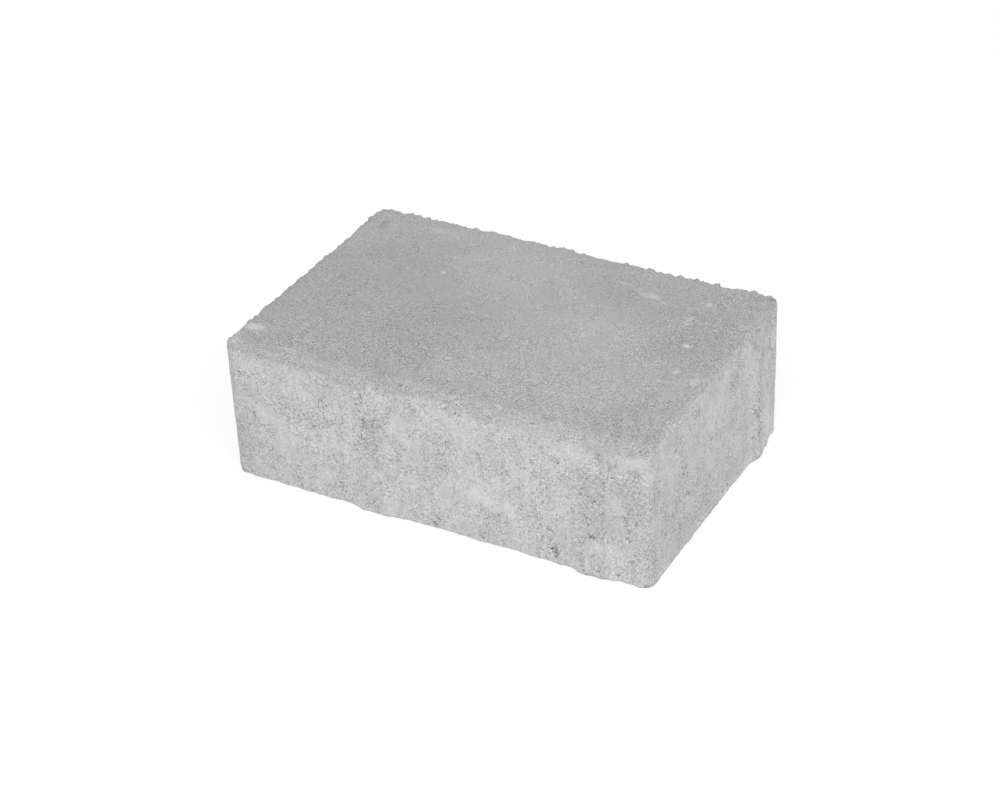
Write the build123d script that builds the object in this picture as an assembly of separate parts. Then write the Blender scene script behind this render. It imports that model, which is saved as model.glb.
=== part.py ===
from build123d import *
import os

# Concrete paving stone, pressed as one piece: a plain block with rounded upright corners and a softened top
# arris, and spacer nibs on its four faces that hold the joint open to the next stone.
# Millimetres, X along the length, Y along the width, +Z up, with the origin in the middle of the underside.

# Block, measured without its nibs
stone_length = 208.0
stone_width = 138.0
stone_height = 70.0
corner_radius = 4.5
arris_radius = 1.5
foot_radius = 0.8

# Spacer nibs: low upright ribs with sloped flanks and a sloped head, blended into the face
nib_depth = 2.0
nib_crest_width = 12.0
nib_foot_width = 22.0
nib_head_gap = 12.0
nib_head_slope = 4.0
nib_crest_radius = 4.0
nib_blend_radius = 3.0

# How far a nib's flanks and head run on inside the block, so that the two fuse along one clean seam
nib_root = 1.0

# Nib places, measured from the right-hand end of each face as seen from outside
long_face_nib_end_distance = 26.0
short_face_nib_end_distance = 21.5
nib_spacing = 108.0
long_face_nib_count = 2
short_face_nib_count = 1


def make_block():
    """The plain block, standing on the floor plane, with its corners and its top arris rounded."""
    plan = RectangleRounded(stone_length, stone_width, corner_radius)
    block = extrude(plan, stone_height)
    return fillet(block.faces().sort_by(Axis.Z)[-1].edges(), arris_radius)


def make_nib():
    """One nib on the plane Y = 0, standing out towards -Y: where its plan and its side profile agree."""
    root_reach = (nib_depth + nib_root) / nib_depth
    half_crest = nib_crest_width / 2
    half_root = half_crest + (nib_foot_width - nib_crest_width) / 2 * root_reach
    crest_top = stone_height - nib_head_gap - nib_head_slope
    root_top = crest_top + nib_head_slope * root_reach
    plan = Polygon(
        (-half_root, nib_root),
        (-half_crest, -nib_depth),
        (half_crest, -nib_depth),
        (half_root, nib_root),
        align=None,
    )
    side = Polygon(
        (nib_root, 0),
        (nib_root, root_top),
        (-nib_depth, crest_top),
        (-nib_depth, 0),
        align=None,
    )
    rib = extrude(plan, root_top) & extrude(Plane.YZ * side, half_root, both=True)
    crest = rib.faces().sort_by(Axis.Y)[0]
    return fillet(crest.edges().sort_by(Axis.Z)[1:], nib_crest_radius)


def nib_places():
    """The place of every nib. Each face is the front face, turned about the upright axis."""
    long_face = (stone_length, stone_width, long_face_nib_end_distance, long_face_nib_count)
    short_face = (stone_width, stone_length, short_face_nib_end_distance, short_face_nib_count)
    faces = (long_face, short_face, long_face, short_face)
    for quarter, (length, across, end_distance, count) in enumerate(faces):
        for step in range(count):
            along = length / 2 - end_distance - step * nib_spacing
            yield Rot(0, 0, 90 * quarter) * Pos(along, -across / 2, 0)


def make_paving_stone():
    """The whole stone as one solid: block and nibs fused, the seams blended and the foot eased all round."""
    block = make_block()
    nibs = [place * make_nib() for place in nib_places()]
    stone = block + nibs
    stone = fillet(new_edges(block, *nibs, combined=stone), nib_blend_radius)
    return fillet(stone.faces().sort_by(Axis.Z)[0].edges(), foot_radius)


paving_stone = make_paving_stone()
paving_stone.label = "paving_stone"
os.makedirs("parts", exist_ok=True)
export_step(paving_stone, "parts/paving_stone.step")
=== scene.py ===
"""Looks of a pressed concrete paving stone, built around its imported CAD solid.

The stone is one cast piece. Its mesh starts as a bevelled block and is sliced finely. It is then given
its spacer nibs, its crumbled and worn arrises and the unevenness of the casting. One concrete finish
dresses it. Positions are metres, +Z up. Unless a class says otherwise, the sizes written in it are
millimetres, and angles are degrees.
"""

import logging
import math
from dataclasses import dataclass, field
from enum import Enum, IntEnum

import bmesh
import bpy
from mathutils import Matrix, Vector, noise


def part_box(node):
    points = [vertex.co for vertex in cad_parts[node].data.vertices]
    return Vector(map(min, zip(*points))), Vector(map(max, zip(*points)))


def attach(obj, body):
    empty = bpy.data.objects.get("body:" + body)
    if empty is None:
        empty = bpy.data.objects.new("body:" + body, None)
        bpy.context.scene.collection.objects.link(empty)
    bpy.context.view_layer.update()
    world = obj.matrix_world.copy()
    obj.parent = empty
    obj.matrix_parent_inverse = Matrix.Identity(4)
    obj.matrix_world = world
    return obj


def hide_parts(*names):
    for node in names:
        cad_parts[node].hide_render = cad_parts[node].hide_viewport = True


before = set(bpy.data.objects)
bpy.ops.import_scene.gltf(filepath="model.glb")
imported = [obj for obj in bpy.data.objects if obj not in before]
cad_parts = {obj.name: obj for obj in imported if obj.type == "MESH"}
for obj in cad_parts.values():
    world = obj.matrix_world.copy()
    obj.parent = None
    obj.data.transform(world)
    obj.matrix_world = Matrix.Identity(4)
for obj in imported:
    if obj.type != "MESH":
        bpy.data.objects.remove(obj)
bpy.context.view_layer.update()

MM = 0.001
TINY = MM / 1000
STONE_NODE = "paving_stone"
MATH = "ShaderNodeMath"
MAP_RANGE = "ShaderNodeMapRange"
log = logging.getLogger("paving_stone")

# How far apart two random patterns lie: along each axis for each seed, and from one scale to the next
SEED_STEPS = (1.0, 3.1, 7.7)
SCALE_STEP = 1.7

# Distances from a mark's middle, as shares of its size, where it starts to fade and where it is gone
FADE_START_SHARE = 0.30
FADE_END_SHARE = 0.65

Tree = bpy.types.NodeTree
Socket = bpy.types.NodeSocket
Value = float | Socket
Changes = tuple[tuple[Socket, Value], ...]


def linear(hex_colour: str) -> tuple[float, float, float, float]:
    """Turns an sRGB hex colour into linear RGBA.

    Args:
        hex_colour: Six hex digits, such as "B4B4B4".

    Returns:
        The linear colour with full alpha.
    """
    parts = [int(hex_colour[i : i + 2], 16) / 255 for i in (0, 2, 4)]
    red, green, blue = (c / 12.92 if c <= 0.04045 else ((c + 0.055) / 1.055) ** 2.4 for c in parts)
    return red, green, blue, 1.0


def add_node(
    tree: Tree, kind: str, inputs: dict[str | int, object] | None = None, **settings: object
) -> bpy.types.Node:
    """Adds one node with its settings, and fills or links its inputs.

    Args:
        tree: The node tree that takes the node.
        kind: The node's type name.
        inputs: Socket name or number to a value, or to an output socket that it is linked from.
        **settings: Properties of the node itself.

    Returns:
        The new node.
    """
    made = tree.nodes.new(kind)
    for name, value in settings.items():
        setattr(made, name, value)
    for key, value in (inputs or {}).items():
        if isinstance(value, Socket):
            tree.links.new(value, made.inputs[key])
        else:
            made.inputs[key].default_value = value
    return made


def ease(low: float, high: float, value: float) -> float:
    """Rises smoothly from 0 at a low value to 1 at a high one, or falls where low is the larger."""
    t = min(1.0, max(0.0, (value - low) / (high - low)))
    return t * t * (3 - 2 * t)


def bell(distance: float, reach: float) -> float:
    """Falls smoothly from 1 at no distance towards 0 well past the reach."""
    return math.exp(-((distance / reach) ** 2))


def grain(point: Vector, size: float, seed: float) -> float:
    """Smooth random relief, from about -1 to 1, with a wavelength in millimetres."""
    return noise.noise(point / size + Vector([step * seed for step in SEED_STEPS]))


class Seed(IntEnum):
    """The random pattern of each feature: first those of the mesh, then those of the finish."""

    TOP = 1
    SIDE = 11
    NIB = 21
    FACING_END = 31
    FOOT = 41
    ARRIS = 51
    BURR = 56
    BLUR_ACROSS = 61
    BLUR_DOWN = 65
    SKIN = 71
    CRUMBS = 75
    CORE_CLOUDS = 10
    CORE_SAND = 15
    FACING_CLOUDS = 30
    FACING_SAND = 35
    SAND_PATCHES = 50
    BORDER = 60
    PORES = 80
    CREVICES = 85
    BUMP = 90


class Face(Enum):
    """A face of the stone: its outward direction, and the way right along it, seen from outside."""

    FRONT = ((0, -1, 0), (1, 0, 0))
    RIGHT = ((1, 0, 0), (0, 1, 0))
    BACK = ((0, 1, 0), (-1, 0, 0))
    LEFT = ((-1, 0, 0), (0, -1, 0))
    TOP = ((0, 0, 1), (1, 0, 0))

    def __init__(self, outward: tuple[int, ...], rightward: tuple[int, ...]) -> None:
        """Keeps the two directions as vectors."""
        self.outward = Vector(outward)
        self.rightward = Vector(rightward)

    @property
    def runs_lengthwise(self) -> bool:
        """Whether the face runs along the stone's length."""
        return self.rightward.x != 0


SIDES = (Face.FRONT, Face.RIGHT, Face.BACK, Face.LEFT)


class MarkKind(Enum):
    """What a mark on a face is."""

    SKIN = "smooth cement skin with less grain, or an area with more where its strength is below 0"
    CHIP = "a light grain or scar"
    # Some of these marks are painted light and shade, on the nib flanks and along the left edge of the top
    TONE_AND_LIGHT = "a darker area, or a paler one where its strength is below 0"
    PORES = "a cluster of open pores, or a closed area where its strength is below 0"
    PIT = "a hollow, its strength a depth in millimetres"


class EdgeKind(Enum):
    """What a stretch of a side's edge is: of the arris above it, or of its foot."""

    LOW = "arris worn down, its strength a drop in millimetres"
    RUBBED = "arris rubbed pale"
    BURR = "crumbs left standing on the arris by the mould"
    SAG = "facing that reaches lower by its strength in millimetres, or less low if that is below 0"
    FLARE = "foot that stands out, its strength in millimetres"


def fading(reach: float) -> float:
    """Share of a mark at a distance given in sizes of the mark: whole in its middle, none outside it."""
    return ease(FADE_END_SHARE, FADE_START_SHARE, reach)


@dataclass(frozen=True)
class Mark:
    """One mark on a face, in millimetres from the face's left end and from its upper edge."""

    across: float
    down: float
    wide: float
    tall: float
    strength: float = 1.0

    def share(self, across: float, down: float) -> float:
        """How strongly the mark shows at distances from its face's left end and upper edge."""
        aside, astray = (across - self.across) / self.wide, (down - self.down) / self.tall
        return self.strength * fading(math.hypot(aside, astray))


@dataclass(frozen=True)
class Stretch:
    """One stretch of a side's edge, in millimetres from the side's left end."""

    middle: float
    length: float
    strength: float = 1.0

    def share(self, along: float) -> float:
        """How strongly the stretch shows at a distance along the side."""
        return self.strength * fading(abs(along - self.middle) / self.length)


MARKS: dict[tuple[Face, MarkKind], tuple[Mark, ...]] = {
    (Face.TOP, MarkKind.CHIP): (
        Mark(6.5, 122, 9, 6, 1.1), Mark(3, 129, 6, 5, 0.45), Mark(4, 134, 4, 4, 1.0),
        Mark(140, 18.5, 8, 3, 0.3), Mark(147.5, 21, 6, 3.5, 0.3), Mark(155, 23.5, 10, 5, 0.6),
        Mark(162, 26, 5, 3, 0.35), Mark(187.5, 56, 3.6, 2.4, 1.6), Mark(59, 44, 3, 2.6, 1.1),
        Mark(137, 134, 2, 2.5, 0.7), Mark(145, 133, 3, 2, 0.3), Mark(192, 78, 3, 3.4, 0.9),
        Mark(202, 81, 4, 6, 0.65), Mark(179, 36, 3, 8, 0.6), Mark(182, 20, 3, 2.6, 1.0),
        Mark(151, 115, 3.5, 3.5, 0.5), Mark(122, 83, 3, 4, 0.5), Mark(112, 82, 2.5, 3.5, 0.5),
        Mark(27, 113, 2.5, 9, 0.4), Mark(31, 133, 10, 3, 0.4), Mark(104, 123, 6, 3, 0.35),
        Mark(40, 10, 10, 5, 0.3),
    ),
    (Face.TOP, MarkKind.PORES): (
        Mark(11, 15.5, 4.5, 9, 1.2), Mark(50, 47, 3, 2.6, 0.9), Mark(205, 3, 5, 4, 1.2),
    ),
    (Face.TOP, MarkKind.SKIN): (
        Mark(80, 38, 180, 90, 0.4), Mark(104, 134, 340, 70, -0.45), Mark(190, 50, 60, 90, -0.3),
    ),
    (Face.TOP, MarkKind.TONE_AND_LIGHT): (
        # Mark(0, 58, ...) is painted shade: a dark rim along the crumbled left edge
        Mark(0, 58, 7, 120, 1.0), Mark(104, 138, 400, 12, -0.55), Mark(92, 20, 90, 60, -0.5),
        Mark(138, 86, 120, 74, -0.6), Mark(33, 50, 60, 60, 0.5), Mark(172, 46, 60, 50, 0.25),
        Mark(112, 50, 90, 50, -0.25), Mark(85, 92, 60, 50, 0.4), Mark(204, 112, 26, 90, -0.4),
    ),
    (Face.FRONT, MarkKind.TONE_AND_LIGHT): (
        # Painted light and shade on the nibs: paler left flanks, darker crests and right flanks; painted
        # shade at the left end too
        Mark(104, 40, 420, 160, 0.12), Mark(68, 44, 30, 56, -0.35), Mark(77, 21, 18, 16, 0.8),
        Mark(180, 21, 10, 16, 0.6), Mark(64, 36, 10, 44, -0.6), Mark(74, 58, 16, 30, -0.55),
        Mark(162, 28, 24, 44, -0.6), Mark(191, 28, 9, 44, 0.7), Mark(177, 50, 8, 16, -0.6),
        Mark(183, 62, 10, 16, -0.5), Mark(122, 49, 60, 18, -0.45), Mark(89, 48, 10, 20, -0.4),
        Mark(10, 58, 24, 30, 0.4), Mark(200, 60, 26, 26, -0.7), Mark(202, 7, 9, 8, -0.5),
        Mark(3, 36, 14, 100, 0.5), Mark(36, 8, 60, 14, 0.5), Mark(104, 0, 300, 10, 0.4),
        Mark(80, 48, 8, 5, 0.5),
    ),
    (Face.FRONT, MarkKind.SKIN): (
        Mark(80, 48, 9, 6, 1.0), Mark(90, 21, 11, 14, 1.0), Mark(93, 27, 8, 11, 0.9),
        Mark(111, 8, 16, 6, 0.8), Mark(172, 9, 18, 6, 0.9), Mark(24, 9, 44, 9, 0.7),
        Mark(202, 7, 9, 7, 1.0), Mark(124, 45, 9, 10, 1.1), Mark(136, 47, 18, 9, 0.8),
        Mark(194.5, 36, 5, 17, 0.7),
    ),
    (Face.FRONT, MarkKind.CHIP): (
        Mark(90, 47, 3, 3, 0.8), Mark(183, 33, 2.2, 2.2, 0.7), Mark(183.5, 42, 2.2, 2.2, 0.7),
        Mark(184, 56, 4, 5, 0.5),
    ),
    (Face.FRONT, MarkKind.PORES): (
        Mark(163, 63, 7, 8, 1.7), Mark(129.5, 65, 4, 6, 1.5), Mark(182, 46, 6, 13, 0.7),
        Mark(187, 22, 12, 16, -0.6), Mark(74, 62, 18, 18, -0.5), Mark(126, 25, 5, 5, 1.2),
        Mark(156.5, 46, 3, 4, 1.3), Mark(79, 54, 4, 4, 1.0), Mark(50, 37, 7, 7, 0.7),
        Mark(200, 38, 7, 8, 0.5), Mark(106, 66, 4, 4, 1.2), Mark(70, 18, 3.5, 4, 1.2),
    ),
    (Face.FRONT, MarkKind.PIT): (
        Mark(163, 64, 4, 5, 0.7), Mark(129, 66, 3, 4, 0.5),
    ),
    (Face.RIGHT, MarkKind.PORES): (
        Mark(26, 7, 7, 8, 0.5), Mark(46, 9, 7, 8, 0.35), Mark(85, 15, 8, 9, 0.2),
        Mark(110, 7, 8, 8, 0.7), Mark(123, 20, 9, 16, 0.4), Mark(109, 53, 7, 14, 0.5),
        Mark(119, 54, 10, 34, -0.8), Mark(39, 44.5, 5, 4, 1.6),
    ),
    (Face.RIGHT, MarkKind.PIT): (Mark(38, 46, 2.6, 3, 0.8),),
    (Face.RIGHT, MarkKind.SKIN): (
        Mark(63, 19, 16, 14, 1.0), Mark(10, 12, 28, 24, 0.5), Mark(75, 9, 14, 8, 0.7),
        Mark(102, 16, 10, 10, 0.3),
    ),
    (Face.RIGHT, MarkKind.CHIP): (Mark(90, 24, 3.5, 3, 0.6),),
    (Face.RIGHT, MarkKind.TONE_AND_LIGHT): (
        Mark(116, 8, 26, 22, 0.9), Mark(98, 38, 40, 30, -0.25), Mark(132, 44, 24, 64, -0.9),
        Mark(116, 60, 40, 26, -0.7), Mark(120, 46, 15, 56, -0.9), Mark(90, 63, 20, 14, 0.7),
        Mark(56, 34, 22, 22, -0.35), Mark(27, 62, 30, 20, 0.4),
    ),
    (Face.BACK, MarkKind.SKIN): (Mark(120, 28, 16, 20, 0.9),),
    (Face.BACK, MarkKind.PORES): (Mark(45, 40, 10, 14, 0.8),),
    (Face.LEFT, MarkKind.SKIN): (Mark(82, 22, 14, 16, 0.9),),
    (Face.LEFT, MarkKind.PORES): (Mark(110, 44, 9, 12, 0.8),),
}

STRETCHES: dict[tuple[Face, EdgeKind], tuple[Stretch, ...]] = {
    (Face.FRONT, EdgeKind.LOW): (Stretch(140, 170, 0.85),),
    (Face.FRONT, EdgeKind.RUBBED): (Stretch(136, 150),),
    (Face.FRONT, EdgeKind.SAG): (
        Stretch(24, 34, 0.8), Stretch(65, 18, 4.2), Stretch(90, 18, 2.2), Stretch(162, 84, 3.0),
    ),
    (Face.RIGHT, EdgeKind.SAG): (Stretch(48, 150, -1.6),),
    (Face.RIGHT, EdgeKind.FLARE): (Stretch(62, 120, 0.6),),
    (Face.BACK, EdgeKind.LOW): (Stretch(60, 80, 0.4),),
    (Face.BACK, EdgeKind.BURR): (
        Stretch(104, 400, 0.8), Stretch(198, 40, 0.5), Stretch(40, 50, 0.6), Stretch(8, 22, 0.7),
    ),
    (Face.LEFT, EdgeKind.LOW): (Stretch(69, 260, 0.38),),
    (Face.LEFT, EdgeKind.BURR): (
        Stretch(15, 14, 0.9), Stretch(48, 14, 0.9), Stretch(114, 14, 0.9),
    ),
}


@dataclass(frozen=True)
class Spot:
    """A place on the plain block, in millimetres, with the face it is on and the side it is nearest to.

    along is measured from the side's left end. across and down are measured from the face's left end and
    upper edge. inside is the depth in from the side, and below the depth down from the top. underneath
    tells a place on the underside.
    """

    point: Vector
    normal: Vector
    side: Face
    face: Face
    along: float
    across: float
    down: float
    inside: float
    below: float
    underneath: bool

    @property
    def on_top(self) -> bool:
        """Whether the place is on the top face."""
        return self.face is Face.TOP

    @property
    def past_arris(self) -> float:
        """Distance past the arris: above 0 down the side, below 0 back over the top."""
        return self.below - self.inside

    @property
    def from_arris(self) -> float:
        """Distance from the arris, either way."""
        return math.hypot(max(0.0, self.inside), self.below)


@dataclass(frozen=True)
class Wave:
    """One scale of unevenness: its height, or a pattern's strength, and its wavelength in millimetres."""

    height: float
    size: float


def relief(point: Vector, waves: tuple[Wave, ...], seed: float, crumbled: bool = False) -> float:
    """Height of several scales of unevenness together, above 0 and sharply notched where crumbled."""
    heights = [grain(point, wave.size, seed + SCALE_STEP * i) for i, wave in enumerate(waves)]
    return sum(wave.height * (abs(h) if crumbled else h) for wave, h in zip(waves, heights))


@dataclass(frozen=True)
class Casting:
    """How uneven the casting is on its faces, along its arrises and foot, and on its nibs.

    The reaches say how far in the arris and the foot are uneven, and rim_width how far the underside
    follows the foot. low_width and low_height bound a worn stretch on the top and on the side.
    """

    top: tuple[Wave, ...] = (Wave(0.10, 24), Wave(0.05, 6), Wave(0.05, 2.2))
    side: tuple[Wave, ...] = (Wave(0.22, 28), Wave(0.12, 8), Wave(0.10, 2.4))
    nib: tuple[Wave, ...] = (Wave(0.20, 5), Wave(0.15, 2.0))
    arris: tuple[Wave, ...] = (Wave(0.60, 9.0), Wave(0.75, 3.2), Wave(0.85, 1.9))
    burr: tuple[Wave, ...] = (Wave(2.20, 4.5), Wave(1.50, 2.2))
    foot: tuple[Wave, ...] = (Wave(0.50, 26), Wave(0.65, 8), Wave(0.45, 3))
    arris_reach: float = 1.8
    arris_loss: float = 0.47
    burr_rise: float = -0.70
    foot_reach: float = 3.0
    rim_width: float = 4.0
    low_width: float = 7.0
    low_height: float = 5.0

    def lift(self, spot: Spot, nib: float, low: float, burr: float) -> float:
        """How far the cast surface stands off the plain block at a place.

        Args:
            spot: The place.
            nib: How far a nib has risen there, from 0 to 1.
            low: How far the arris is worn down there, in millimetres.
            burr: How strong the burr is there.

        Returns:
            The height along the normal, in millimetres.
        """
        if spot.on_top:
            lift = relief(spot.point, self.top, Seed.TOP) - low * ease(self.low_width, 0.0, spot.inside)
        else:
            lift = relief(spot.point, self.side, Seed.SIDE) + nib * relief(spot.point, self.nib, Seed.NIB)
            lift -= low * ease(self.low_height, 0.0, spot.below)
        crumbs = relief(spot.point, self.arris, Seed.ARRIS) - self.arris_loss
        if burr > 0:
            crumbs += burr * (relief(spot.point, self.burr, Seed.BURR, crumbled=True) + self.burr_rise)
        return lift + bell(spot.from_arris, self.arris_reach) * crumbs

    def spread(self, spot: Spot, flare: float) -> float:
        """How far the foot, with its flare there, stands out from its side, in millimetres."""
        return bell(spot.point.z, self.foot_reach) * (flare + relief(spot.point, self.foot, Seed.FOOT))


@dataclass(frozen=True)
class NibPattern:
    """Spacer nibs in millimetres: their section, and their places from the right-hand end of each side."""

    depth: float = 2.0
    crest_width: float = 12.0
    foot_width: float = 22.0
    head_gap: float = 12.0
    head_slope: float = 4.0
    blend: float = 1.5
    long_end_distance: float = 26.0
    short_end_distance: float = 21.5
    spacing: float = 108.0
    long_count: int = 2
    short_count: int = 1

    def count(self, side: Face) -> int:
        """How many nibs a side has."""
        return self.long_count if side.runs_lengthwise else self.short_count

    def end_distance(self, side: Face) -> float:
        """Distance of a side's first nib from its right-hand end, in millimetres."""
        return self.long_end_distance if side.runs_lengthwise else self.short_end_distance

    def rise(self, side: Face, from_right: float, below: float) -> float:
        """How far the nibs lift a point of a side.

        Args:
            side: The side.
            from_right: Distance from the right-hand end of the side.
            below: Distance below the top of the stone.

        Returns:
            The lift as a share of the nib depth, from 0 to 1.
        """
        head = ease(self.head_gap - self.blend, self.head_gap + self.head_slope + self.blend, below)
        lift = 0.0
        for step in range(self.count(side)):
            off = abs(from_right - self.end_distance(side) - step * self.spacing)
            lift = max(lift, ease(self.foot_width / 2 + self.blend, self.crest_width / 2 - self.blend, off))
        return lift * head


@dataclass(frozen=True)
class SurfacePattern:
    """Where the facing layer ends, where the sides are smooth, darker or paler, and where shade and light
    are painted on. Sizes are millimetres.
    """

    facing_depth: float = 2.9
    facing_wander: Wave = Wave(2.2, 12)
    facing_fade: float = 0.7
    rubbed_fade: float = 0.5
    rub_share: float = 0.62
    rub_width: float = 12.0
    rub_full: float = 4.0
    rub_end: float = 1.0
    crest_limits: tuple[float, float] = (0.75, 0.98)
    skin: Wave = Wave(0.5, 9)
    skin_limits: tuple[float, float] = (0.15, 0.50)
    skin_above: float = 1.0
    skin_below: float = 2.0
    # Painted shade towards the upright corners
    corner_shade: float = 0.50
    corner_reach: tuple[float, float] = (14.0, 3.0)
    # Painted bounce light from the floor: the sides paler towards the foot
    foot_bounce_light: float = 0.35
    foot_bounce_height: float = 11.0
    # Painted shade on the crumbs along the burr, together with their own darker tone
    crumb_shade: Wave = Wave(1.4, 3.0)
    crumb_reach: float = 1.6
    blur: tuple[Wave, ...] = (Wave(1.0, 7.0), Wave(0.5, 2.5))
    top_blur: float = 1.2
    side_blur: float = 4.0

    def mark_place(self, spot: Spot) -> tuple[float, float]:
        """Where a mark is looked up for a place, so that the marks get ragged outlines.

        Args:
            spot: The place.

        Returns:
            Distances from the face's left end and upper edge.
        """
        spread = self.top_blur if spot.on_top else self.side_blur
        seeds = (Seed.BLUR_ACROSS, Seed.BLUR_DOWN)
        aside, astray = (spread * relief(spot.point, self.blur, seed) for seed in seeds)
        return spot.across + aside, spot.down + astray

    def facing_end(self, spot: Spot, sag: float) -> float:
        """How far past the arris the facing layer ends near a place."""
        wander = self.facing_wander.height * grain(spot.point, self.facing_wander.size, Seed.FACING_END)
        return self.facing_depth + sag + wander

    def facing(self, spot: Spot, sag: float, rubbed: float) -> float:
        """How far a place shows the facing layer rather than the core mix.

        Args:
            spot: The place.
            sag: How much lower the facing reaches there, in millimetres.
            rubbed: How far the arris is rubbed pale there, from 0 to 1.

        Returns:
            A number from 0, core, to 1, facing.
        """
        edge, end = spot.past_arris, self.facing_end(spot, sag)
        fade = self.facing_fade + self.rubbed_fade * rubbed
        near_arris = ease(-self.rub_width, -self.rub_full, edge) * ease(self.rub_end, -self.rub_end, edge)
        return (1 - self.rub_share * rubbed * near_arris) * ease(end + fade, end - fade, edge)

    def side_skin(self, spot: Spot, marked: float, nib: float, sag: float) -> float:
        """How far a place on a side has smooth cement skin, which neither the nibs nor the facing have.

        Args:
            spot: The place.
            marked: The share of the marks there.
            nib: How far a nib has risen there, from 0 to 1.
            sag: How much lower the facing reaches there, in millimetres.

        Returns:
            A number from 0 to 1.
        """
        end = self.facing_end(spot, sag)
        patches = self.skin.height * ease(*self.skin_limits, grain(spot.point, self.skin.size, Seed.SKIN))
        skin = max(marked, patches * (1 - nib))
        return skin * ease(end - self.skin_above, end + self.skin_below, spot.past_arris)

    def tone_and_light(self, spot: Spot, marked: float, run: float, burr: float) -> float:
        """How much darker a place is: its marks, painted shade at the upright corners, darker crumbs with
        painted shade, and painted bounce light at the foot.

        Args:
            spot: The place.
            marked: The share of the marks there.
            run: Length of the face.
            burr: How strong the burr is there.

        Returns:
            The dullness, below 0 where the place is pale.
        """
        # Painted shade on the crumbs along the burr, together with their own darker tone
        crumb = self.crumb_shade.height * grain(spot.point, self.crumb_shade.size, Seed.CRUMBS)
        tone_and_light = marked + burr * max(0.0, crumb) * bell(spot.from_arris, self.crumb_reach)
        if not spot.on_top:
            # Painted shade: darker towards the upright corners
            tone_and_light += self.corner_shade * ease(*self.corner_reach, min(spot.across, run - spot.across))
            # Painted bounce light from the floor: paler towards the foot
            tone_and_light -= self.foot_bounce_light * ease(self.foot_bounce_height, 0.0, spot.point.z)
        return tone_and_light


class Trait(Enum):
    """A value that the mesh carries at each vertex for its finish, named as its attribute.

    NIB is the share of a nib's crest. The others are shares or strengths of what they name.
    """

    FACING = "facing"
    NIB = "nib"
    SKIN = "skin"
    CHIP = "chip"
    PORES = "pores"
    # Darker or paler tone, with painted shade and painted bounce light in it
    TONE_AND_LIGHT = "tone_and_light"


@dataclass(frozen=True)
class ToneLayer:
    """One scale of light and dark in the concrete: its size in millimetres, and how strong it is.

    detail adds finer octaves, and upright stretches the pattern along Z, as dragging in the mould does.
    """

    size: float
    amount: float
    detail: float = 1.0
    upright: float = 1.0


@dataclass(frozen=True)
class Mix:
    """One concrete mix: its colour, the clouds and the sand that vary it, and the seeds of both."""

    colour: str
    clouds: tuple[ToneLayer, ...]
    sand: tuple[ToneLayer, ...]
    clouds_seed: Seed
    sand_seed: Seed


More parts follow.
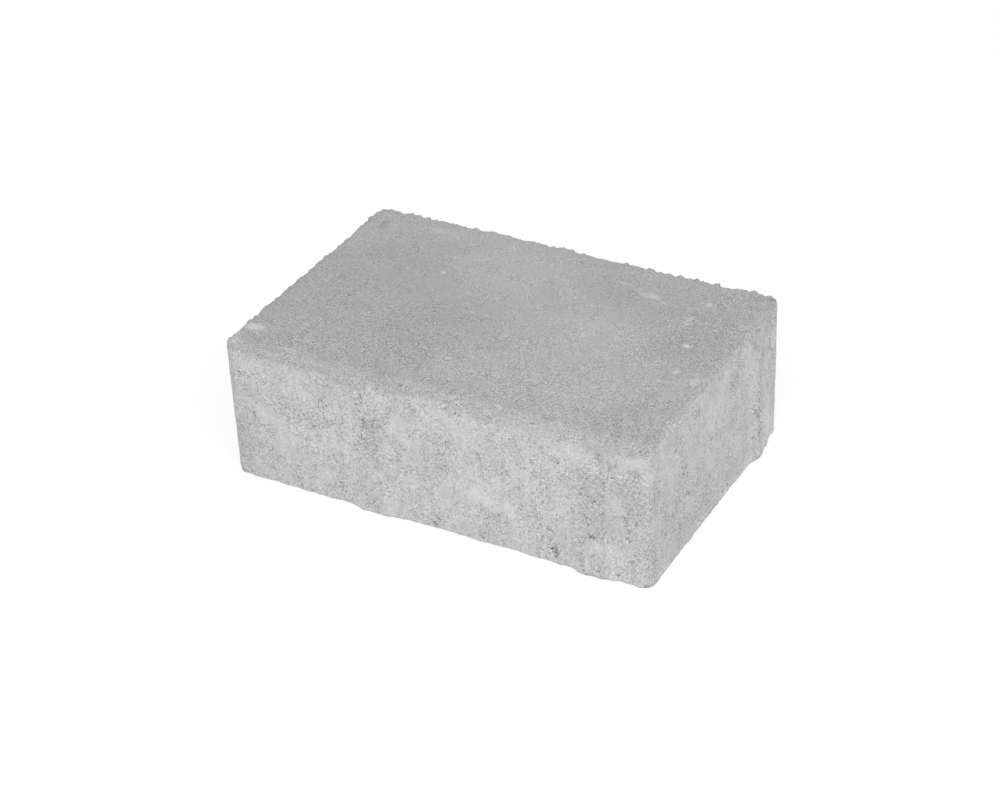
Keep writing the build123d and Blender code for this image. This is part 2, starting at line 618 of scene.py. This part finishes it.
@dataclass(frozen=True)
class ConcreteFinish:
    """Pressed concrete: a fine, slightly darker facing on top, and a paler, more open core on the sides.

    Amounts, shades and gains are factors on the colour, and limits are values of a noise. The sand is
    drawn a little coarser than real sand, so that it shows.
    """

    facing: Mix = Mix(
        "ADADAD",
        (ToneLayer(42, 0.22), ToneLayer(9, 0.16)),
        (ToneLayer(2.4, 0.10), ToneLayer(1.1, 0.26), ToneLayer(0.52, 1.75)),
        Seed.FACING_CLOUDS,
        Seed.FACING_SAND,
    )
    core: Mix = Mix(
        "BABABA",
        (ToneLayer(26, 0.20), ToneLayer(7, 0.30, 2.0), ToneLayer(1.8, 0.18, 1.0, 7.0)),
        (ToneLayer(2.4, 0.12), ToneLayer(1.1, 0.30), ToneLayer(0.52, 1.55)),
        Seed.CORE_CLOUDS,
        Seed.CORE_SAND,
    )
    patch: ToneLayer = ToneLayer(10, 1.0, 2.0)
    patch_limits: tuple[float, float] = (0.35, 0.65)
    patch_range: tuple[float, float] = (0.55, 1.40)
    patch_calm: float = 0.55
    pores: tuple[ToneLayer, ...] = (ToneLayer(1.3, 1.0), ToneLayer(9, 0.6, 2.0))
    pore_limits: tuple[float, float] = (0.92, 1.10)
    pore_gain: float = 0.16
    pore_nib_gain: float = 0.04
    pore_skin_loss: float = 0.20
    pore_shade: float = 0.26
    facing_pore_shade: float = 0.17
    crevice: ToneLayer = ToneLayer(2.0, 1.0, 2.0)
    crevice_width: float = 0.06
    crevice_limits: tuple[float, float] = (0.60, 0.95)
    crevice_shade: float = 0.32
    nib_shade: float = 0.06
    # Strength of the darker or paler tone, which also carries the painted light and shade
    tone_and_light_amount: float = 0.10
    skin_gain: float = 0.075
    chip_gain: float = 0.40
    border: ToneLayer = ToneLayer(1.6, 1.2, 3.0)
    border_limits: tuple[float, float] = (0.80, 1.30)
    bump: ToneLayer = ToneLayer(1.2, 1.0, 2.0)
    bump_height: float = 0.25
    bump_strength: float = 0.6
    bump_pore_depth: float = 1.0
    roughness: float = 0.92
    specular: float = 0.3

    def clouds(self, tree: Tree, layer: ToneLayer, seed: float) -> Socket:
        """Adds one noise of a layer's size.

        Args:
            tree: The material's nodes.
            layer: The layer.
            seed: Picks one of many independent patterns.

        Returns:
            The noise, from 0 to 1.
        """
        place = add_node(tree, "ShaderNodeTexCoord").outputs["Object"]
        if layer.upright != 1.0:
            stretch = (1.0, 1.0, 1.0 / layer.upright)
            place = add_node(tree, "ShaderNodeMapping", {"Vector": place, "Scale": stretch}).outputs[0]
        settings = {"Vector": place, "W": seed, "Scale": 1 / (layer.size * MM), "Detail": layer.detail}
        return add_node(tree, "ShaderNodeTexNoise", settings, noise_dimensions="4D").outputs[0]

    def changed(self, tree: Tree, start: Value, changes: Changes) -> Socket:
        """Adds some changes to a value, each a share times an amount.

        Args:
            tree: The material's nodes.
            start: The value to change, a number or a socket.
            changes: Pairs of a share and its amount.

        Returns:
            The changed value.
        """
        for share, amount in changes:
            inputs = {0: share, 1: amount, 2: start}
            start = add_node(tree, MATH, inputs, operation="MULTIPLY_ADD").outputs[0]
        return start

    def tones(self, tree: Tree, layers: tuple[ToneLayer, ...], middle: float, seed: float) -> Socket:
        """Adds up layers of light and dark.

        Args:
            tree: The material's nodes.
            layers: The layers.
            middle: The mean tone.
            seed: Picks one of many independent patterns.

        Returns:
            The tone, a factor on the colour.
        """
        start = middle - sum(layer.amount for layer in layers) / 2
        parts = tuple((self.clouds(tree, layer, seed + i), layer.amount) for i, layer in enumerate(layers))
        return self.changed(tree, start, parts)

    def patches(self, tree: Tree, traits: dict[Trait, Socket]) -> Socket:
        """Adds the strength of the sand, which is calmer in some patches, on skin and on chips.

        Args:
            tree: The material's nodes.
            traits: The mesh's values.

        Returns:
            The factor on the sand.
        """
        low, high = self.patch_limits
        calm, rough = self.patch_range
        inputs = {0: self.clouds(tree, self.patch, Seed.SAND_PATCHES), 1: low, 2: high, 3: calm, 4: rough}
        strength = add_node(tree, MAP_RANGE, inputs).outputs[0]
        calmed = tuple((traits[trait], -self.patch_calm) for trait in (Trait.SKIN, Trait.CHIP))
        return self.changed(tree, strength, calmed)

    def openings(self, tree: Tree, traits: dict[Trait, Socket]) -> tuple[Socket, Socket]:
        """Adds the pores, which gather in clusters, and the fine crevices around them.

        Args:
            tree: The material's nodes.
            traits: The mesh's values.

        Returns:
            How far a place is a pore, and how far a crevice, each from 0 to 1.
        """
        middle = sum(layer.amount for layer in self.pores) / 2
        openness = self.changed(
            tree,
            self.tones(tree, self.pores, middle, Seed.PORES),
            (
                (traits[Trait.PORES], self.pore_gain),
                (traits[Trait.NIB], self.pore_nib_gain),
                (traits[Trait.SKIN], -self.pore_skin_loss),
            ),
        )
        low, high = self.pore_limits
        inputs = {0: openness, 1: low, 2: high}
        pore = add_node(tree, MAP_RANGE, inputs, interpolation_type="SMOOTHSTEP").outputs[0]
        wander = self.tones(tree, (self.crevice,), 0.0, Seed.CREVICES)
        off_line = add_node(tree, MATH, {0: wander}, operation="ABSOLUTE").outputs[0]
        line = add_node(tree, MAP_RANGE, {0: off_line, 1: self.crevice_width, 2: 0.0}).outputs[0]
        low, high = self.crevice_limits
        around = add_node(tree, MAP_RANGE, {0: openness, 1: low, 2: high}).outputs[0]
        crevice = add_node(tree, MATH, {0: line, 1: around}, operation="MULTIPLY").outputs[0]
        return pore, crevice

    def mixed(self, tree: Tree, mix: Mix, sand: Socket, changes: Changes) -> Socket:
        """Adds the colour of one mix.

        Args:
            tree: The material's nodes.
            mix: The mix.
            sand: The factor on its sand.
            changes: What else changes its tone.

        Returns:
            The colour.
        """
        clouds = self.tones(tree, mix.clouds, 1.0, mix.clouds_seed)
        grains = self.tones(tree, mix.sand, 0.0, mix.sand_seed)
        tone = self.changed(tree, clouds, ((grains, sand), *changes))
        inputs = {0: linear(mix.colour)[:3], "Scale": tone}
        return add_node(tree, "ShaderNodeVectorMath", inputs, operation="SCALE").outputs[0]

    def colour(self, tree: Tree, traits: dict[Trait, Socket], openings: tuple[Socket, Socket]) -> Socket:
        """Adds the colour: the core mix and the denser, more even facing, which meet along a ragged border.

        Args:
            tree: The material's nodes.
            traits: The mesh's values.
            openings: The pores and the crevices.

        Returns:
            The colour.
        """
        pore, crevice = openings
        core_changes = (
            (pore, -self.pore_shade),
            (crevice, -self.crevice_shade),
            (traits[Trait.NIB], -self.nib_shade),
            # Darker or paler tone, with painted light and shade
            (traits[Trait.TONE_AND_LIGHT], -self.tone_and_light_amount),
            (traits[Trait.SKIN], self.skin_gain),
            (traits[Trait.CHIP], self.chip_gain),
        )
        facing_changes = (
            (traits[Trait.PORES], -self.facing_pore_shade),
            # Darker or paler tone, with painted light and shade
            (traits[Trait.TONE_AND_LIGHT], -self.tone_and_light_amount),
            (traits[Trait.CHIP], self.chip_gain),
        )
        sand = self.patches(tree, traits)
        core = self.mixed(tree, self.core, sand, core_changes)
        facing = self.mixed(tree, self.facing, sand, facing_changes)
        ragged = ((self.clouds(tree, self.border, Seed.BORDER), self.border.amount),)
        low, high = self.border_limits
        inputs = {0: self.changed(tree, traits[Trait.FACING], ragged), 1: low, 2: high}
        share = add_node(tree, MAP_RANGE, inputs).outputs[0]
        both = {"Factor": share, "A": core, "B": facing}
        return add_node(tree, "ShaderNodeMix", both, data_type="VECTOR").outputs["Result"]

    def material(self) -> bpy.types.Material:
        """Makes the concrete.

        Returns:
            The material.
        """
        # Concrete pressed nearly dry is matt and sandy. Light and dark grains, open pores and upright drag
        # marks show on the sides, with smooth pale patches where cement paste met the mould.
        made = bpy.data.materials.new("pressed_concrete")
        made.use_nodes = True
        tree = made.node_tree
        tree.nodes.clear()
        traits = {
            trait: add_node(tree, "ShaderNodeAttribute", attribute_name=trait.value).outputs["Fac"]
            for trait in Trait
        }
        openings = self.openings(tree, traits)
        sunk_pores = ((openings[0], -self.bump_pore_depth),)
        height = self.changed(tree, self.clouds(tree, self.bump, Seed.BUMP), sunk_pores)
        relief_settings = {
            "Strength": self.bump_strength,
            "Distance": self.bump_height * MM,
            "Height": height,
        }
        shader = add_node(
            tree,
            "ShaderNodeBsdfPrincipled",
            {
                "Base Color": self.colour(tree, traits, openings),
                "Roughness": self.roughness,
                "Normal": add_node(tree, "ShaderNodeBump", relief_settings).outputs[0],
                "Specular IOR Level": self.specular,
            },
        ).outputs[0]
        add_node(tree, "ShaderNodeOutputMaterial", {"Surface": shader})
        return made


@dataclass
class PavingStone:
    """The stone's mesh. Its sizes are in millimetres and follow the CAD box where that gives them.

    A place is on the top or the underside where the Z of its normal passes top_slope or underside_slope.
    """

    nibs: NibPattern = NibPattern()
    casting: Casting = Casting()
    pattern: SurfacePattern = SurfacePattern()
    finish: ConcreteFinish = ConcreteFinish()
    corner_radius: float = 4.5
    corner_steps: int = 6
    arris_radius: float = 1.5
    arris_steps: int = 3
    foot_radius: float = 0.8
    foot_steps: int = 2
    pitch: float = 0.95
    fine_pitch: float = 0.55
    upright_pitch: float = 1.1
    fine_band: float = 7.0
    underside_pitch: float = 6.0
    top_slope: float = 0.7
    underside_slope: float = -0.95
    straight_share: float = 0.9999
    length: float = field(init=False)
    width: float = field(init=False)
    height: float = field(init=False)

    def __post_init__(self) -> None:
        """Reads the block's size from the CAD node, less the nibs that stand out of it."""
        low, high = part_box(STONE_NODE)
        span = (high - low) / MM
        self.length = span.x - 2 * self.nibs.depth
        self.width = span.y - 2 * self.nibs.depth
        self.height = span.z

    def bevel(
        self, form: bmesh.types.BMesh, edges: list[bmesh.types.BMEdge], radius: float, steps: int
    ) -> None:
        """Rounds some edges of the form.

        Args:
            form: The mesh.
            edges: The edges to round.
            radius: Radius in millimetres.
            steps: Number of facets across the round.
        """
        bmesh.ops.bevel(
            form, geom=edges, offset=radius * MM, offset_type="OFFSET", segments=steps, profile=0.5,
            affect="EDGES", material=-1, clamp_overlap=False,
        )

    def level_edges(self, form: bmesh.types.BMesh, level: float) -> list[bmesh.types.BMEdge]:
        """The edges that lie at one height above the floor, in millimetres."""
        return [e for e in form.edges if all(abs(v.co.z - level * MM) < TINY for v in e.verts)]

    def block(self) -> bmesh.types.BMesh:
        """Makes the plain block with its corners, arris and foot rounded and its underside open.

        Returns:
            The block as a mesh, in metres.
        """
        form = bmesh.new()
        size = Matrix.Diagonal((self.length * MM, self.width * MM, self.height * MM, 1.0))
        raised = Matrix.Translation((0, 0, self.height * MM / 2))
        bmesh.ops.create_cube(form, size=1.0, matrix=raised @ size)
        upright = [e for e in form.edges if abs(e.verts[0].co.z - e.verts[1].co.z) > MM]
        self.bevel(form, upright, self.corner_radius, self.corner_steps)
        self.bevel(form, self.level_edges(form, self.height), self.arris_radius, self.arris_steps)
        self.bevel(form, self.level_edges(form, 0.0), self.foot_radius, self.foot_steps)
        underside = [f for f in form.faces if f.normal.z < self.underside_slope]
        bmesh.ops.delete(form, geom=underside, context="FACES_ONLY")
        return form

    def slice_block(self, form: bmesh.types.BMesh) -> None:
        """Slices the block's faces into small squares, finer next to the arrises.

        Args:
            form: The plain block.
        """
        inset = self.corner_radius + self.fine_pitch
        reaches = (self.length / 2 - inset, self.width / 2 - inset)
        cuts = [(axis, sign * reach) for axis, reach in enumerate(reaches) for sign in (-1, 1)]
        cuts += [(2, self.fine_band), (2, self.height - self.fine_band)]
        for axis, place in cuts:
            normal = Vector([1.0 if i == axis else 0.0 for i in range(3)])
            point = normal * place * MM
            parts = form.verts[:] + form.edges[:] + form.faces[:]
            bmesh.ops.bisect_plane(form, geom=parts, dist=TINY, plane_co=point, plane_no=normal)
        for axis in range(3):
            self.slice_along(form, axis)

    def slice_along(self, form: bmesh.types.BMesh, axis: int) -> None:
        """Cuts every straight edge along one axis into pieces of the wanted length.

        Args:
            form: The block.
            axis: 0, 1 or 2 for X, Y or Z.
        """
        rows: dict[float, list[bmesh.types.BMEdge]] = {}
        for edge in form.edges:
            run = edge.verts[1].co - edge.verts[0].co
            if run.length > self.pitch * MM and abs(run[axis]) > self.straight_share * run.length:
                rows.setdefault(round(run.length / MM, 2), []).append(edge)
        for length, edges in rows.items():
            broad = self.upright_pitch if axis == 2 else self.pitch
            pitch = broad if length > 2 * self.fine_band else self.fine_pitch
            bmesh.ops.subdivide_edges(form, edges=edges, cuts=max(1, round(length / pitch) - 1))

    def close_underside(self, form: bmesh.types.BMesh) -> None:
        """Closes the underside with a face that is sliced more coarsely than the rest.

        Args:
            form: The sliced block, open below.
        """
        rim = [e for e in form.edges if e.is_boundary]
        filled = bmesh.ops.edgeloop_fill(form, edges=rim)["faces"]
        bmesh.ops.inset_region(form, faces=filled, thickness=self.corner_radius * MM)
        parts = filled[0].verts[:] + filled[0].edges[:] + filled
        for span, normal in ((self.length, Vector((1, 0, 0))), (self.width, Vector((0, 1, 0)))):
            steps = round(span / self.underside_pitch)
            for step in range(1, steps):
                point = normal * (step / steps - 0.5) * span * MM
                cut = bmesh.ops.bisect_plane(form, geom=parts, dist=TINY, plane_co=point, plane_no=normal)
                parts = list(dict.fromkeys(cut["geom"] + cut["geom_cut"]))

    def reach(self, side: Face) -> float:
        """Distance from the upright axis to a side, in millimetres."""
        return (self.width if side.runs_lengthwise else self.length) / 2

    def run(self, face: Face) -> float:
        """Length of a face from its left end to its right, in millimetres."""
        return self.length if face.runs_lengthwise else self.width

    def across(self, face: Face, point: Vector) -> float:
        """Distance of a point from the left end of a face, in millimetres."""
        return point.dot(face.rightward) + self.run(face) / 2

    def spot(self, vert: bmesh.types.BMVert) -> Spot:
        """Finds where a vertex of the plain block lies.

        Args:
            vert: The vertex.

        Returns:
            Its place.
        """
        point = vert.co / MM
        side = max(SIDES, key=lambda s: point.dot(s.outward) - self.reach(s))
        face = Face.TOP if vert.normal.z > self.top_slope else side
        below = self.height - point.z
        return Spot(
            point=point,
            normal=vert.normal.copy(),
            side=side,
            face=face,
            along=self.across(side, point),
            across=self.across(face, point),
            down=self.width / 2 - point.y if face is Face.TOP else below,
            inside=self.reach(side) - point.dot(side.outward),
            below=below,
            underneath=vert.normal.z < self.underside_slope,
        )

    def nib(self, spot: Spot) -> float:
        """How far a nib has risen at a place, from 0 to 1."""
        if spot.on_top or spot.inside > self.corner_radius + self.foot_radius:
            return 0.0
        return self.nibs.rise(spot.side, self.run(spot.side) - spot.along, spot.below)

    def marked(self, kind: MarkKind, face: Face, across: float, down: float) -> float:
        """How strongly marks of one kind show at distances from a face's left end and upper edge."""
        return sum(mark.share(across, down) for mark in MARKS.get((face, kind), ()))

    def stretched(self, kind: EdgeKind, spot: Spot) -> float:
        """How strongly the stretches of one kind show beside a place."""
        return sum(part.share(spot.along) for part in STRETCHES.get((spot.side, kind), ()))

    def surface(self, spot: Spot, nib: float) -> Vector:
        """Finds where the cast surface is for a place on the plain block.

        Args:
            spot: The place.
            nib: How far a nib has risen there, from 0 to 1.

        Returns:
            The point in millimetres, not below the floor.
        """
        low, burr = (self.stretched(kind, spot) for kind in (EdgeKind.LOW, EdgeKind.BURR))
        out = nib * self.nibs.depth + self.casting.spread(spot, self.stretched(EdgeKind.FLARE, spot))
        if spot.underneath:
            near_rim = ease(self.casting.rim_width, 0.0, spot.inside)
            return spot.point + spot.side.outward * (out * near_rim)
        lift = self.casting.lift(spot, nib, low, burr)
        lift -= self.marked(MarkKind.PIT, spot.face, spot.across, spot.down)
        moved = spot.point + spot.normal * lift + spot.side.outward * (0.0 if spot.on_top else out)
        moved.z = max(0.0, moved.z)
        return moved

    def traits(self, spot: Spot, nib: float) -> dict[Trait, float]:
        """Finds what the finish shows at a place.

        Args:
            spot: The place.
            nib: How far a nib has risen there, from 0 to 1.

        Returns:
            The values by trait.
        """
        sag, rubbed, burr = (
            self.stretched(kind, spot) for kind in (EdgeKind.SAG, EdgeKind.RUBBED, EdgeKind.BURR)
        )
        place = self.pattern.mark_place(spot)
        skin, chip, pores, tone_and_light = (
            self.marked(kind, spot.face, *place)
            for kind in (MarkKind.SKIN, MarkKind.CHIP, MarkKind.PORES, MarkKind.TONE_AND_LIGHT)
        )
        if not spot.on_top:
            skin = self.pattern.side_skin(spot, skin, nib, sag)
        return {
            Trait.FACING: self.pattern.facing(spot, sag, rubbed),
            Trait.NIB: ease(*self.pattern.crest_limits, nib),
            Trait.SKIN: min(1.0, skin),
            Trait.CHIP: chip,
            Trait.PORES: pores,
            # Darker or paler tone, with painted shade at corners and crumbs and painted bounce light at the
            # foot
            Trait.TONE_AND_LIGHT: self.pattern.tone_and_light(spot, tone_and_light, self.run(spot.face), burr),
        }

    def cast(self, form: bmesh.types.BMesh) -> None:
        """Gives the sliced block its nibs, its unevenness and the values that its finish follows.

        Args:
            form: The sliced block.
        """
        form.normal_update()
        layers = {trait: form.verts.layers.float.new(trait.value) for trait in Trait}
        for vert in form.verts:
            spot = self.spot(vert)
            nib = self.nib(spot)
            vert.co = self.surface(spot, nib) * MM
            for trait, value in self.traits(spot, nib).items():
                vert[layers[trait]] = value

    def build(self) -> bpy.types.Object:
        """Makes the stone's mesh and binds it to the CAD frame.

        Returns:
            The stone.
        """
        form = self.block()
        self.slice_block(form)
        self.close_underside(form)
        self.cast(form)
        mesh = bpy.data.meshes.new("cast_stone")
        form.to_mesh(mesh)
        form.free()
        mesh.polygons.foreach_set("use_smooth", [True] * len(mesh.polygons))
        stone = bpy.data.objects.new("cast_stone", mesh)
        bpy.context.scene.collection.objects.link(stone)
        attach(stone, "root")
        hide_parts(STONE_NODE)
        return stone

    def dress(self, stone: bpy.types.Object) -> None:
        """Gives the stone its concrete."""
        stone.data.materials.append(self.finish.material())


def direction(azimuth: float, elevation: float) -> Vector:
    """Unit vector from the stone to an azimuth, from the front to the right, and an elevation."""
    turn, rise = math.radians(azimuth), math.radians(elevation)
    return Vector((math.sin(turn) * math.cos(rise), -math.cos(turn) * math.cos(rise), math.sin(rise)))


@dataclass(frozen=True)
class Softbox:
    """One soft square light: its direction from the stone, distance and side in metres, and level."""

    name: str
    azimuth: float
    elevation: float
    distance: float
    side: float
    level: float

    def build(self, target: Vector) -> None:
        """Hangs the light so that it faces the target.

        Args:
            target: The point it lights.
        """
        toward = direction(self.azimuth, self.elevation)
        lamp = bpy.data.lights.new(self.name, "AREA")
        lamp.size = self.side
        # With this power, white card that faces the light shows the wanted level
        lamp.energy = self.level * (math.pi * self.distance) ** 2
        made = bpy.data.objects.new(self.name, lamp)
        made.location = target + toward * self.distance
        made.rotation_euler = toward.to_track_quat("Z", "Y").to_euler()
        bpy.context.scene.collection.objects.link(made)


@dataclass
class Studio:
    """A white sweep and one soft light, under a soft sky that is brightest at the horizon.

    Sizes are metres, and 1 is white in the levels of the glow and the sky.
    """

    floor_span: float = 8.0
    floor_glow: float = 0.72
    floor_colour: str = "9A9A9A"
    bounce_colour: str = "EDEDED"
    sky_colour: str = "FFFFFF"
    horizon: float = 1.62
    zenith: float = 0.30
    seen_sky: float = 1.0
    target_height: float = 0.035
    lights: tuple[Softbox, ...] = (Softbox("key", 31.0, 41.0, 1.6, 1.2, 0.40),)

    def seen_directly(self, tree: Tree) -> Socket:
        """Tells rays that show the sweep from rays that light the stone.

        Args:
            tree: The nodes of the sweep's material or the world.

        Returns:
            1 for camera, mirror and see-through rays, otherwise 0.
        """
        path = add_node(tree, "ShaderNodeLightPath").outputs
        seen = path["Is Camera Ray"]
        for name in ("Is Glossy Ray", "Is Transmission Ray"):
            seen = add_node(tree, MATH, {0: seen, 1: path[name]}, operation="MAXIMUM").outputs[0]
        return seen

    def sweep_material(self) -> bpy.types.Material:
        """Makes the sweep's white.

        Returns:
            The material.
        """
        # White card is matt: it bounces light on the stone, and where it is seen it keeps a faint shadow.
        made = bpy.data.materials.new("white_card")
        made.use_nodes = True
        tree = made.node_tree
        tree.nodes.clear()
        glow = add_node(tree, "ShaderNodeEmission", {"Strength": self.floor_glow}).outputs[0]
        shown, card = (
            add_node(tree, "ShaderNodeBsdfDiffuse", {"Color": linear(colour)}).outputs[0]
            for colour in (self.floor_colour, self.bounce_colour)
        )
        white = add_node(tree, "ShaderNodeAddShader", {0: glow, 1: shown}).outputs[0]
        looks = {0: self.seen_directly(tree), 1: card, 2: white}
        mixed = add_node(tree, "ShaderNodeMixShader", looks).outputs[0]
        add_node(tree, "ShaderNodeOutputMaterial", {"Surface": mixed})
        return made

    def build_sky(self) -> None:
        """Makes the world white where it is seen, and a soft light elsewhere."""
        world = bpy.data.worlds.new("soft_sky")
        world.use_nodes = True
        tree = world.node_tree
        tree.nodes.clear()
        toward = add_node(tree, "ShaderNodeTexCoord").outputs["Generated"]
        height = add_node(tree, "ShaderNodeSeparateXYZ", {0: toward}).outputs["Z"]
        sky = add_node(tree, MAP_RANGE, {0: height, 3: self.horizon, 4: self.zenith}).outputs[0]
        levels = {"Factor": self.seen_directly(tree), "A": sky, "B": self.seen_sky}
        level = add_node(tree, "ShaderNodeMix", levels).outputs[0]
        settings = {"Color": linear(self.sky_colour), "Strength": level}
        shown = add_node(tree, "ShaderNodeBackground", settings).outputs[0]
        add_node(tree, "ShaderNodeOutputWorld", {"Surface": shown})
        bpy.context.scene.world = world

    def build(self) -> bpy.types.Object:
        """Lays the sweep under the stone and lights it.

        Returns:
            The sweep.
        """
        form = bmesh.new()
        bmesh.ops.create_grid(form, x_segments=1, y_segments=1, size=self.floor_span / 2)
        mesh = bpy.data.meshes.new("sweep")
        form.to_mesh(mesh)
        form.free()
        mesh.materials.append(self.sweep_material())
        sweep = bpy.data.objects.new("sweep", mesh)
        bpy.context.scene.collection.objects.link(sweep)
        self.build_sky()
        for light in self.lights:
            light.build(Vector((0.0, 0.0, self.target_height)))
        return sweep


@dataclass
class PhotoCamera:
    """The camera, fitted to the outline in the photo. Lengths are millimetres, and angles degrees."""

    azimuth: float = 29.615
    elevation: float = 32.711
    roll: float = -2.418
    distance: float = 1084.22
    shift_right: float = 4.045
    shift_down: float = 23.239
    lens: float = 84.73
    sensor: float = 36.0
    clip_start: float = 50.0

    def build(self) -> bpy.types.Object:
        """Puts the camera in place and makes it the scene's.

        Returns:
            The camera.
        """
        roll = math.radians(self.roll)
        back = direction(self.azimuth, self.elevation)
        level = Vector((0.0, 0.0, 1.0)).cross(back).normalized()
        upright = back.cross(level)
        right = level * math.cos(roll) + upright * math.sin(roll)
        up = upright * math.cos(roll) - level * math.sin(roll)
        place = back * self.distance - right * self.shift_right + up * self.shift_down
        data = bpy.data.cameras.new("photo_camera")
        data.sensor_width = self.sensor
        data.sensor_fit = "HORIZONTAL"
        data.lens = self.lens
        data.clip_start = self.clip_start * MM
        camera = bpy.data.objects.new("photo_camera", data)
        turned = Matrix((right, up, back)).transposed().to_4x4()
        camera.matrix_world = Matrix.Translation(place * MM) @ turned
        bpy.context.scene.collection.objects.link(camera)
        bpy.context.scene.camera = camera
        return camera


def main() -> None:
    """Builds the stone, the studio and the camera, and logs each."""
    logging.basicConfig(level=logging.INFO, format="%(name)s: %(message)s")
    bpy.context.scene.view_settings.view_transform = "Standard"
    stone = PavingStone()
    body = stone.build()
    stone.dress(body)
    log.info("%s: %d vertices", body.name, len(body.data.vertices))
    log.info("%s", Studio().build().name)
    log.info("%s", PhotoCamera().build().name)


if __name__ == "__main__":
    main()
